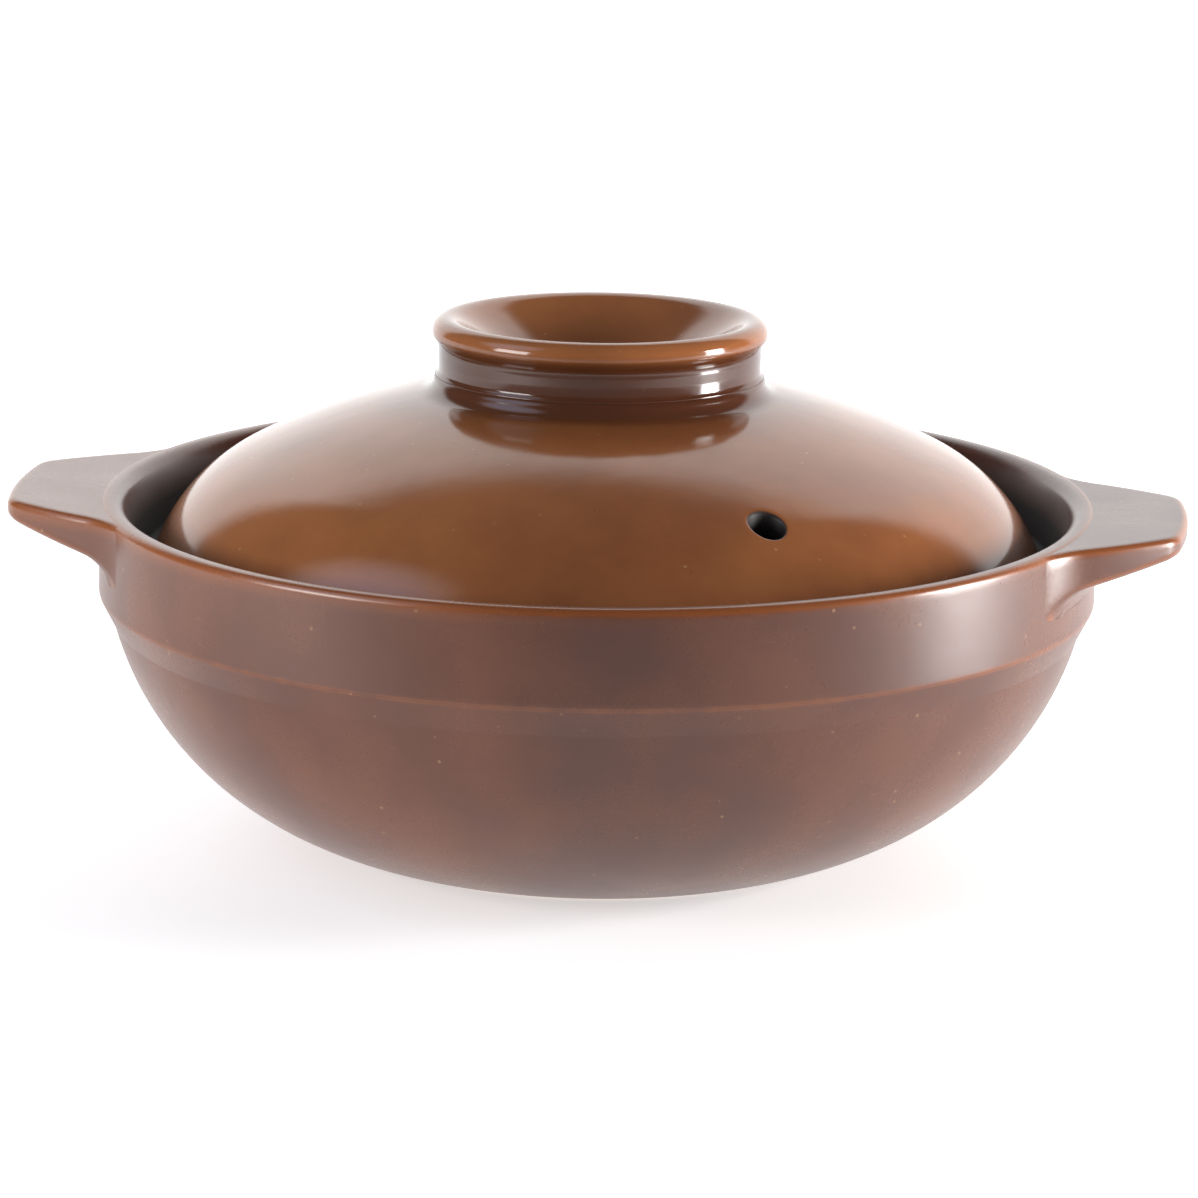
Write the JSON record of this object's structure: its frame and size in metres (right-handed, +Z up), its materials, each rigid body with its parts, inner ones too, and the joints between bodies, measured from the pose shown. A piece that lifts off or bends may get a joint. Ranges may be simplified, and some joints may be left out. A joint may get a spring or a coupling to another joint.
{
  "type": "casserole pot",
  "caption": "Round glazed clay casserole pot with side lug handles, an inner ledge and a loose domed lid with a dished ring knob and a steam vent.",
  "frame": {"origin": "middle of the foot, on the surface the pot stands on", "axes": "+Z up, +X towards the right handle, and the front of the pot, as the picture sees it, faces -Y"},
  "size_m": [0.3002, 0.2552, 0.1334],
  "materials": {
    "bowl_glaze": "satin purple-brown glaze, rust-coloured where it thins over the rim, ridge and handle edges",
    "lid_glaze": "glossy warm brown glaze with fine pale specks"
  },
  "bodies": {
    "pot": {"pot_bowl": "bowl_glaze", "left_handle": "bowl_glaze", "right_handle": "bowl_glaze"},
    "lid": {"lid_dome": "lid_glaze", "lid_knob": "lid_glaze"}
  },
  "joints": [
    {"name": "lid_lift", "type": "slide", "parent": "pot", "child": "lid", "axis": [0, 0, 1], "range_m": [0, 0.1]}
  ]
}
